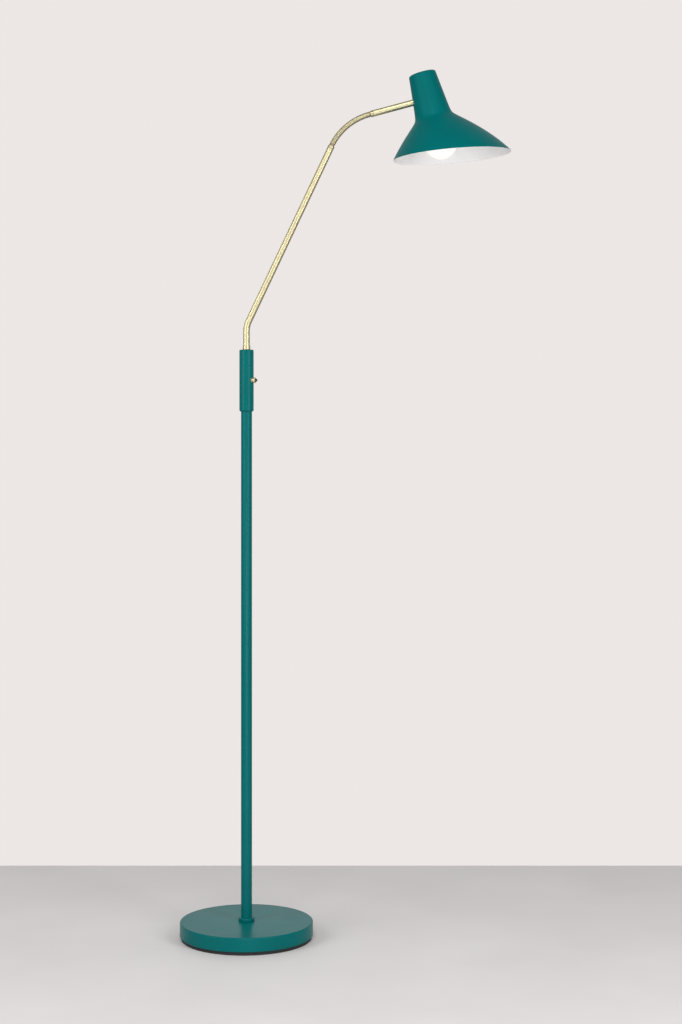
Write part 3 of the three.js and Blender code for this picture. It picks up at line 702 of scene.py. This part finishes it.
def build_switch():
    body = draft("switch_body", block(SWITCH_BODY["low"], SWITCH_BODY["high"]), SWITCH)
    stand_in("switch_body", soften(body, 0.5))
    t = TERMINAL
    for number, side in ((1, -1), (2, 1)):
        node = f"switch_terminal_{number}"
        middle = t["offset"] * side
        blade_low = (t["near"], middle - t["half"], t["low"])
        blade = draft(node, block(blade_low, (t["far"], middle + t["half"], t["high"])), SWITCH)
        eye = placed(SWITCH @ Vector((t["eye"], middle, 0)), SWITCH_AXIS, WORLD_Z)
        carve(blade, turned(rod(t["hole"], -4, 0), FINE["small"] // 2, loop=False), eye)
        stand_in(node, soften(blade, 0.12, 1))

    b = BARREL
    barrel = refined(tube(b["bore"], b["radius"], b["low"], b["high"], 0.2), b["pitch"] / 4)
    winding = thread(b["pitch"], b["depth"], 3.2, b["low"], b["high"])
    stand_in("switch_bush", turned(barrel, FINE["small"], winding), SWITCH)

    z = BEZEL

    def knurl(radius, along, turn):
        groove = 0.16 * (1 + math.cos(z["knurls"] * turn)) / 2
        return radius - (groove if radius > 4.9 and along < 17 else 0)

    bezel = rounded([
        (z["hole"], z["low"]), (z["radius"], z["low"], 0.15), (z["radius"], 17.6, 0.3), (5.0, 19.3, 0.9),
        (3.7, 20.8, 1.0), (z["bore"], z["top"], 0.25), (z["bore"], z["step"]), (z["hole"], z["step"]),
    ], steps=5)
    stand_in("switch_bezel", turned(refined(bezel, 0.6), 2 * FINE["pole"], knurl), SWITCH)

    u = BUTTON
    plunger = rounded([
        (0, u["low"]), (u["radius"], u["low"], 0.2), (u["radius"], 23.2, 0.6),
        (1.5, 23.8, 0.8), (0, u["top"]),
    ], loop=False)
    stand_in("switch_button", turned(plunger, FINE["small"], loop=False), SWITCH)


# ---------------------------------------------------------------- arm


def arm_path(point):
    """Bends +Z onto the lower arm: up the pole's axis, round the elbow, then straight.

    Heights stay as they are until the elbow.
    """
    start = ELBOW_HEIGHT - ELBOW_RADIUS * math.tan(ARM_LEAN / 2)
    turn = min(max((point.z - start) / ELBOW_RADIUS, 0), ARM_LEAN)
    past = point.z - start - ELBOW_RADIUS * turn
    up = Vector((math.sin(turn), 0, math.cos(turn)))
    out = Vector((math.cos(turn), 0, -math.sin(turn)))
    middle = Vector((ELBOW_RADIUS * (1 - math.cos(turn)), 0, start + ELBOW_RADIUS * math.sin(turn)))
    return middle + up * past + out * point.x + WORLD_Y * point.y


def arm_height(reach):
    """The unbent height of a point on the straight of the lower arm, reach past the elbow's corner."""
    saved = ELBOW_RADIUS * (2 * math.tan(ARM_LEAN / 2) - ARM_LEAN)
    return ELBOW_HEIGHT + reach - saved


ARM_REACH = NECK_PLACES[0].x / math.sin(ARM_LEAN)  # from the elbow's corner to the neck


def build_lower_arm():
    low, high = corners("arm_ferrule")
    radius = (corners("lower_arm_tube")[1].y - corners("lower_arm_tube")[0].y) / 2
    end = arm_height(ARM_REACH - FERRULE["lip"] - GAP)
    outline = refined(tube(radius - TUBE_WALL, radius, low.z, end, 0.25), 3)
    stand_in("lower_arm_tube", turned(outline, FINE["tube"], path=arm_path))

    bore = radius + 0.2
    ring = rounded([(bore, low.z), (high.x, low.z, 0.3), (high.x, high.z, 0.9), (bore, high.z, 0.2)])
    stand_in("arm_ferrule", turned(ring, FINE["tube"]))

    low, high = corners("swivel_spindle")
    stand_in("swivel_spindle", threaded_tube(low.z, high.z))
    low, high = corners("swivel_nut")
    stand_in("swivel_nut", nut(14, low.z, high.z))
    low, high = corners("swivel_lock_nut")
    stand_in("swivel_lock_nut", nut(14, low.z, high.z))

    low, high = corners("swivel_spring_washer")
    wave = turned(tube(NUT_HOLE, high.x, low.z, high.z, 0.15), FINE["small"])
    stand_in("swivel_spring_washer", wave)
    low, high = corners("swivel_stop_washer")
    washer = draft("swivel_stop_washer", turned(tube(NUT_HOLE, high.x, low.z, high.z, 0.2), FINE["small"]))
    carve(washer, block((-1.4, low.y, low.z + 0.01), (1.4, -6, high.z - 0.01)), operation="UNION")
    stand_in("swivel_stop_washer", washer)

    low, high = corners("lead_in_lower_arm")
    lead_end = arm_height(ARM_REACH - FERRULE["end"] - GAP)
    lead = rounded([
        (0, low.z), (LEAD_RADIUS, low.z, 0.3), (LEAD_RADIUS, lead_end, 0.3), (0, lead_end),
    ], loop=False)
    stand_in("lead_in_lower_arm", turned(refined(lead, 4, loop=False), 24, path=arm_path, loop=False))


# ---------------------------------------------------------------- flexible neck


def neck_path(point):
    """Bends +Z onto the neck: straight before its first joint, along its arc, then straight again."""
    turn = min(max(point.z, 0), NECK_LENGTH) / NECK_ARM.length
    past = point.z - turn * NECK_ARM.length
    out = Matrix.Rotation(turn, 3, WORLD_Y) @ NECK_ARM.normalized()
    ahead = Matrix.Rotation(turn, 3, WORLD_Y) @ Vector((math.sin(ARM_LEAN), 0, math.cos(ARM_LEAN)))
    middle = NECK_CENTRE + out * NECK_ARM.length
    return middle + ahead * past - out * point.x + WORLD_Y * point.y


def at_waist(along):
    """Whether a height along the neck is in the bare stretch beside either ferrule."""
    last = NECK_LENGTH + NECK["lip"]
    return 0 < along < NECK["lower_waist"] or last - NECK["upper_waist"] < along < last


def wound(radius, along, turn):
    """Round wire wound side by side: a full round crest and a narrow groove once a pitch, on a helix."""
    if radius < NECK["waist_radius"]:
        return radius
    if at_waist(along):
        return NECK["waist_radius"]
    phase = (along / NECK["pitch"] - turn / math.tau) % 1
    crest = math.sin(math.pi * phase) ** 0.8
    return NECK["radius"] - NECK["groove"] * (1 - crest)


def build_neck():
    lip_height = NECK["lip"]  # of the upper ferrule's lip above the last joint
    ends = [-NECK["buried"], NECK_LENGTH + lip_height + NECK["buried"]]
    links = len(NECK_PLACES) - 1
    cuts = [ends[0]] + [NECK_LENGTH * (i + 0.5) / links for i in range(links)] + [ends[1]]
    for i, joint in enumerate(NECK_JOINTS):
        low, high = cuts[i], cuts[i + 1]
        count = math.ceil((high - low) / (NECK["pitch"] / NECK["steps"]))
        stations = [low + (high - low) * k / count for k in range(count + 1)]
        inner = stations[:: max(1, count // 6)]
        if inner[-1] != high:
            inner.append(high)
        outline = [Vector((NECK["radius"], z)) for z in stations]
        outline += [Vector((NECK["bore"], z)) for z in reversed(inner)]
        # The waist rings take the dark look: a painted shadow beside each ferrule.
        bare = [at_waist(z) for z in stations] + [False] * len(inner)
        shape = turned(outline, FINE["tube"], wound, neck_path, look=lambda ring: int(bare[ring]))
        obj = solid(f"gooseneck_{i + 1}", shape, None, [LOOKS["neck_brass"], NECK_WAIST_SHADE])
        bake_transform(obj)
        if i > 0:
            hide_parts(f"neck_link_{i}")

    f = FERRULE
    bore = NECK["radius"] + f["play"]
    lower = rounded([
        (f["bore"], -f["end"], 0.3), (f["spigot"], -f["end"], 0.4), (f["spigot"], -f["lip"]),
        (TUBE_RADIUS, -f["lip"], 0.35), (TUBE_RADIUS, 0, 0.55), (bore, 0, 0.25),
        (bore, -f["seat"]), (f["bore"], -f["seat"]),
    ], steps=5)
    place = placed(NECK_PLACES[0], Vector((math.sin(ARM_LEAN), 0, math.cos(ARM_LEAN))), WORLD_Y)
    stand_in("neck_lower_ferrule", turned(lower, FINE["tube"]), place)

    foot = lip_height
    upper = rounded([
        (bore, foot, 0.25), (TUBE_RADIUS, foot, 0.55), (TUBE_RADIUS, foot + f["lip"], 0.35),
        (f["spigot"], foot + f["lip"]), (f["spigot"], foot + f["end"], 0.4),
        (f["bore"], foot + f["end"], 0.3), (f["bore"], foot + f["seat"]), (bore, foot + f["seat"]),
    ], steps=5)
    place = placed(NECK_PLACES[-1], HEAD_AXIS, WORLD_Y)
    stand_in("neck_upper_ferrule", turned(upper, FINE["tube"]), place)


def build_upper_arm():
    place = placed(NECK_PLACES[-1], HEAD_AXIS, WORLD_Y)
    reach = (joint_place("head_turn") - NECK_PLACES[-1]).length
    h = HEAD_FIXING
    inside = reach - h["inside"]
    tube_end = reach - SEAT["face"] - GAP
    outline = tube(TUBE_RADIUS - TUBE_WALL, TUBE_RADIUS, 7.5, tube_end, 0.25)
    stand_in("upper_arm_tube", turned(outline, FINE["tube"]), place)
    stand_in("head_nipple", threaded_tube(tube_end - h["nipple_run"], inside), place)
    washer = tube(NUT_HOLE, h["washer"], reach - 24.4, reach - 23.6, 0.15)
    stand_in("head_spring_washer", turned(washer, FINE["small"]), place)
    stand_in("head_nut", nut(14, reach - 23.3, reach - 20.6), place)
    lead = [(0, 20.5), (LEAD_RADIUS, 20.5, 0.3), (LEAD_RADIUS, inside, 0.3), (0, inside)]
    stand_in("lead_in_upper_arm", turned(rounded(lead, loop=False), 24, loop=False), place)


# ---------------------------------------------------------------- shade


def shade_radius(depth):
    """Outer radius of the shade at a distance below its top: a narrow cone running into a wide flare."""
    s = SHADE
    cone = math.tan(math.radians(s["neck_angle"]))
    neck = s["top_radius"] + cone * depth
    past = depth - s["neck_length"]
    open_ = math.tan(math.radians(s["flare_start"]))
    ease = (math.tan(math.radians(s["flare_end"])) - open_) / (2 * s["flare_length"])
    flare = s["top_radius"] + cone * s["neck_length"] + open_ * past + ease * max(past, 0) ** 2
    return (neck + flare + math.hypot(neck - flare, s["blend"])) / 2


def rim_depth(turn):
    """Depth at which the slanting rim meets the shade, in one direction."""
    s = SHADE
    slope = math.tan(math.radians(s["rim_tilt"]))
    low, high = 100.0, 220.0
    while high - low > 1e-4:
        depth = (low + high) / 2
        rim = -s["rim_drop"] + s["wall"] / 2 + 0.12 - slope * shade_radius(depth) * math.cos(turn)
        if s["top"] - depth > rim:
            low = depth
        else:
            high = depth
    return low


def shade_shape():
    s = SHADE
    sides = FINE["shade"]
    turns = [math.tau * i / sides for i in range(sides)]
    rims = [rim_depth(turn) for turn in turns]
    straight = s["neck_length"] - 15  # rows are level down to here, and fan out to the slanting rim below
    level = [s["edge"] + (straight - s["edge"]) * i / 12 for i in range(13)]
    rows = 56

    def wall_point(depth, inset, turn):
        slope = shade_radius(depth + 0.1) - shade_radius(depth - 0.1)
        normal = Vector((0.2, slope)).normalized()
        radius = shade_radius(depth) - inset * normal.x
        return Vector((radius * math.cos(turn), radius * math.sin(turn), s["top"] - depth - inset * normal.y))

    def wall_ring(i, inset):
        """Row i of the wall, counted from the top edge down to the rim."""
        ring = []
        for turn, rim in zip(turns, rims):
            depth = level[i] if i < len(level) else straight + (rim - straight) * (i - len(level) + 1) / rows
            ring.append(wall_point(depth, inset, turn))
        return ring

    def edge_rings(radius, inset, steps=6):
        """The rounded top edge, from the flat top out to the wall."""
        middle = shade_radius(s["edge"]) - s["edge"]
        lean = math.radians(s["neck_angle"])
        outline = []
        for step in range(steps):
            angle = math.pi / 2 - (math.pi / 2 - lean) * step / steps
            height = s["top"] - s["edge"] + radius * math.sin(angle)
            outline.append((middle + radius * math.cos(angle), height))
        spots = [(0, s["top"] - inset), (middle * 0.5, s["top"] - inset), (middle - 0.5, s["top"] - inset)]
        return [
            [Vector((r * math.cos(turn), r * math.sin(turn), z)) for turn in (turns if r else turns[:1])]
            for r, z in spots + outline
        ]

    outer = edge_rings(s["edge"], 0) + [wall_ring(i, 0) for i in range(len(level) + rows)]
    inner = edge_rings(s["edge"] - s["wall"], s["wall"]) + [
        wall_ring(i, s["wall"]) for i in range(len(level) + rows)
    ]
    lip = []
    for step in range(1, 6):
        angle = math.pi * step / 6
        ring = []
        for a, b, before in zip(outer[-1], inner[-1], outer[-2]):
            ahead = (a - before).normalized()
            ring.append((a + b) / 2 + (a - b) / 2 * math.cos(angle) + ahead * s["wall"] / 2 * math.sin(angle))
        lip.append(ring)
    outside = len(outer) + 1
    rings = outer + lip + inner[::-1]
    return Shape().skin(rings, look=lambda ring: 0 if ring < outside else 1)


def build_shade():
    shade = solid("shade_fine", shade_shape(), HEAD, [LOOKS["shade_paint"], ENAMEL])
    sideways = HEAD @ placed(Vector(), (-1, 0, 0), (0, 1, 0))
    small = FINE["small"]
    carve(shade, turned(rod(SEAT["pad"], SEAT["back"], SEAT["face"]), small, loop=False), sideways, "UNION")
    carve(shade, turned(rod(SEAT["recess"], SEAT["face"], 34), small, loop=False), sideways)
    carve(shade, turned(rod(NUT_HOLE, 20, 34), small, loop=False), sideways)
    stand_in("shade", shade)


# ---------------------------------------------------------------- lampholder and bulb


def bracket_outline():
    """Side view of the bent strap that hangs the lampholder from the arm's threaded tube."""
    face, top = BRACKET["face"], BRACKET["top"]
    corner = (-21.9, top, 3.5)
    outer = rounded([(face, -9, 0.2), (face, 9.5, 3.5), corner, (9, top, 0.2)], loop=False, steps=6)
    inner = []
    for i, here in enumerate(outer):
        before = outer[max(i - 1, 0)]
        after = outer[min(i + 1, len(outer) - 1)]
        ahead = (after - before).normalized()
        inner.append(here + BRACKET["thick"] * Vector((ahead.y, -ahead.x)))
    return outer + inner[::-1]


def ribbed(radius, along, turn):
    """Grip ribs around the skirt of the lampholder."""
    ribs = 0.32 * (1 - abs(math.cos(20 * turn)) ** 3)
    return radius - (ribs if radius > 17.9 and -32 < along < -5 else 0)


def build_lampholder():
    half = BRACKET["half_width"]
    strap = draft("holder_bracket", extruded(bracket_outline(), -half, half), HEAD)
    small = FINE["small"]
    sideways = HEAD @ placed(Vector(), (-1, 0, 0), (0, 1, 0))
    carve(strap, turned(rod(NUT_HOLE, 20, 30), small, loop=False), sideways)
    carve(strap, turned(rod(NUT_HOLE, 15, 30), small, loop=False), HEAD)
    stand_in("holder_bracket", soften(strap, 0.25))

    h = HOLDER
    skirt, top = h["radius"], h["cap_top"]
    cap = rounded([
        (h["cap_bore"], -2), (skirt, -2, 0.3), (skirt, 8, 3.0), (16.5, 15.5, 3.0), (10, top, 1.2),
        (NUT_HOLE, top, 0.3), (NUT_HOLE, 18), (9, 18), (14.5, 13.4, 1.5), (h["cap_bore"], 7.5, 1.5),
    ], steps=6)
    stand_in("lampholder_cap", turned(cap, FINE["pole"]), HEAD)
    body = rounded([
        (h["body_bore"], h["body_low"], 0.4), (17.4, h["body_low"], 0.5), (skirt, -34.5, 0.6),
        (skirt, -4.6, 0.4), (17.7, -4.2, 0.2), (17.7, -3.2, 0.2), (skirt, -2.8, 0.2), (skirt, -2.3),
        (16.2, -2.3), (16.2, -8), (h["body_bore"], -9),
    ])
    stand_in("lampholder_body", turned(refined(body, 1.2), 3 * FINE["pole"], ribbed), HEAD)

    shell = refined(tube(13.6, 14.4, -33, -9.4, 0.1), BULB_THREAD_PITCH / 12)

    def rolled(radius, along, turn):
        phase = along / BULB_THREAD_PITCH - turn / math.tau
        return radius + 0.15 * math.cos(math.tau * phase)

    stand_in("lampholder_screw_shell", turned(shell, FINE["small"], rolled), HEAD)
    core = rounded([(0, -7.3), (15.9, -7.3, 0.8), (15.9, 6, 1.2), (0, 6)], loop=False)
    stand_in("lampholder_core", turned(core, FINE["tube"], loop=False), HEAD)
    contact = draft("lampholder_contact", block((-7, -2.5, -8.3), (7, 2.5, -7.7)), HEAD)
    stand_in("lampholder_contact", soften(contact, 0.15))
    stand_in("holder_nipple", threaded_tube(10, 31), HEAD)
    stand_in("holder_nut", nut(14, 23.5, 27.2), HEAD)


def bulb_outline(inset):
    """Half outline of the bulb's glass, from its lowest point up to the open top of its neck."""
    b = BULB
    radius = b["radius"] - inset
    steps = 40
    outline = []
    for i in range(steps + 1):
        angle = math.radians(-90 + (90 + b["shoulder"]) * i / steps)
        outline.append(Vector((radius * math.cos(angle), b["centre"] + radius * math.sin(angle))))
    outline[0].x = 0
    angle = math.radians(b["shoulder"])
    start = outline[-1]
    end = Vector((b["neck"] - inset, b["centre"] + 46))
    pull = 11.0
    first = start + pull * Vector((-math.sin(angle), math.cos(angle)))
    second = end - Vector((0, pull))
    for i in range(1, 25):
        t = i / 24
        near = start * (1 - t) ** 3 + first * (3 * t * (1 - t) ** 2)
        outline.append(near + second * (3 * t * t * (1 - t)) + end * t**3)
    outline.append(Vector((b["neck"] - inset, b["top"])))
    return outline


def build_bulb():
    glass = bulb_outline(0) + bulb_outline(BULB["wall"])[::-1]
    stand_in("bulb_glass", turned(glass, FINE["pole"], loop=False), HEAD)

    c = BULB_CAP
    low, high = c["low"], c["high"]
    pitch = BULB_THREAD_PITCH
    outline = [
        (c["bore"], low), (c["radius"], low, 0.15), (c["radius"], high, 0.5), (9, -11.8, 0.4),
        (8, -11.8), (8, -13), (c["bore"], high, 0.5),
    ]

    def rolled(radius, along, turn):
        fade = min(1, max(0, (along - low) / 2), max(0, (high - 1 - along) / 2))
        wave = math.cos(math.tau * (along / pitch - turn / math.tau))
        return radius + (c["wave"] * wave * fade if radius > 12.7 else 0)

    cap = refined(rounded(outline), pitch / 12)
    stand_in("bulb_cap", turned(cap, FINE["tube"], rolled), HEAD)
    contact = rounded([
        (0, -14), (7.6, -13.4, 0.3), (7.6, -11.4, 0.4), (4.6, -9.6, 0.6), (3.8, -8.7, 0.8), (0, -8.7),
    ], loop=False)
    stand_in("bulb_contact", turned(contact, FINE["small"], loop=False), HEAD)


# ---------------------------------------------------------------- pieces kept from the frame


def dress_kept_nodes():
    """Gives every CAD node that still shows the material of its slot."""
    for node, obj in NODES.items():
        if not obj.hide_render:
            obj.data.materials.clear()
            obj.data.materials.append(LOOKS[SLOT_OF[node]])


# ---------------------------------------------------------------- stage, light and camera

CAMERA = {"place": Vector((0.172, -3.511, 0.941)), "lens": 67.8, "shift": -0.089}
FLOOR = {"half_width": 1.7, "front": -1.7, "back": 0.569}
WALL_COLOUR = colour(0.84, 0.80, 0.785)
SKY_FRONT = 0.14  # light from behind the camera
SKY_BACK = 0.82  # light from behind the lamp, above the horizon
SKY_LOW = 0.34  # light from behind the lamp, near the floor
SOFTBOXES = {
    "left_softbox": {"azimuth": -52, "distance": 2.5, "height": 1.5, "width": 1.25, "tall": 2.0, "power": 40},
    "right_softbox": {"azimuth": 45, "distance": 2.5, "height": 1.5, "width": 1.0, "tall": 2.0, "power": 38},
    "front_softbox": {"azimuth": -4, "distance": 1.9, "height": 2.7, "width": 1.2, "tall": 1.2, "power": 30},
    "low_softbox": {"azimuth": 6, "distance": 2.3, "height": 0.35, "width": 1.2, "tall": 0.5, "power": 17},
}
SOFTBOX_AIM = Vector((0.1, 0, 0.85))


def build_floor():
    f = FLOOR
    r = Recipe("floor")
    tone = r.mix(r.between(r.noise(260, 3), 0, 1), colour(0.61, 0.59, 0.59), colour(0.65, 0.63, 0.63))
    look = r.finish(Base_Color=tone, Roughness=0.6, Specular_IOR_Level=0.2)
    mesh = bpy.data.meshes.new("floor")
    spots = [(-1, "front"), (1, "front"), (1, "back"), (-1, "back")]
    mesh.from_pydata([(side * f["half_width"], f[end], 0) for side, end in spots], [], [(0, 1, 2, 3)])
    mesh.materials.append(look)
    floor = bpy.data.objects.new("floor", mesh)
    bpy.context.scene.collection.objects.link(floor)


def build_world():
    """A plain pale surround for the eye. It lights the lamp mostly from behind, above the horizon."""
    world = bpy.data.worlds.new("studio")
    world.use_nodes = True
    bpy.context.scene.world = world
    nodes, links = world.node_tree.nodes, world.node_tree.links
    nodes.clear()
    output = nodes.new("ShaderNodeOutputWorld")
    choose = nodes.new("ShaderNodeMixShader")
    path = nodes.new("ShaderNodeLightPath")
    seen = nodes.new("ShaderNodeBackground")
    seen.inputs["Color"].default_value = WALL_COLOUR
    glow = nodes.new("ShaderNodeBackground")
    glow.inputs["Color"].default_value = colour(1.0, 0.985, 0.97)
    direction = nodes.new("ShaderNodeTexCoord")
    split = nodes.new("ShaderNodeSeparateXYZ")
    share = nodes.new("ShaderNodeMapRange")
    share.interpolation_type = "SMOOTHSTEP"
    for key, value in (("From Min", -0.1), ("From Max", 0.7), ("To Min", SKY_FRONT)):
        share.inputs[key].default_value = value
    rise = nodes.new("ShaderNodeMapRange")
    rise.interpolation_type = "SMOOTHSTEP"
    for key, value in (("From Min", -0.1), ("From Max", 0.25), ("To Min", SKY_LOW), ("To Max", SKY_BACK)):
        rise.inputs[key].default_value = value
    links.new(direction.outputs["Generated"], split.inputs[0])
    links.new(split.outputs["Z"], rise.inputs["Value"])
    links.new(rise.outputs["Result"], share.inputs["To Max"])
    links.new(split.outputs["Y"], share.inputs["Value"])
    links.new(share.outputs["Result"], glow.inputs["Strength"])
    links.new(path.outputs["Is Camera Ray"], choose.inputs[0])
    links.new(glow.outputs[0], choose.inputs[1])
    links.new(seen.outputs[0], choose.inputs[2])
    links.new(choose.outputs[0], output.inputs["Surface"])


def softbox(name, azimuth, distance, height, width, tall, power):
    """A soft panel that faces the lamp. Azimuth is the angle from -Y towards +X."""
    light = bpy.data.lights.new(name, "AREA")
    light.shape = "RECTANGLE"
    light.size, light.size_y = width, tall
    light.energy = power
    obj = bpy.data.objects.new(name, light)
    bpy.context.scene.collection.objects.link(obj)
    turn = math.radians(azimuth)
    obj.location = (distance * math.sin(turn), -distance * math.cos(turn), height)
    aim = SOFTBOX_AIM - obj.location
    obj.rotation_mode = "QUATERNION"
    obj.rotation_quaternion = aim.to_track_quat("-Z", "Y")
    obj.visible_camera = False


def build_camera():
    data = bpy.data.cameras.new("camera")
    data.sensor_width = 36
    data.lens = CAMERA["lens"]
    data.shift_y = CAMERA["shift"]
    camera = bpy.data.objects.new("camera", data)
    camera.location = CAMERA["place"]
    camera.rotation_euler = (math.pi / 2, 0, 0)
    bpy.context.scene.collection.objects.link(camera)
    bpy.context.scene.camera = camera


def build_stage():
    bpy.context.scene.view_settings.view_transform = "Standard"
    build_floor()
    build_world()
    for name, panel in SOFTBOXES.items():
        softbox(name, **panel)
    build_camera()


build_base()
build_pole()
build_switch()
build_lower_arm()
build_neck()
build_upper_arm()
build_shade()
build_lampholder()
build_bulb()
dress_kept_nodes()
build_stage()
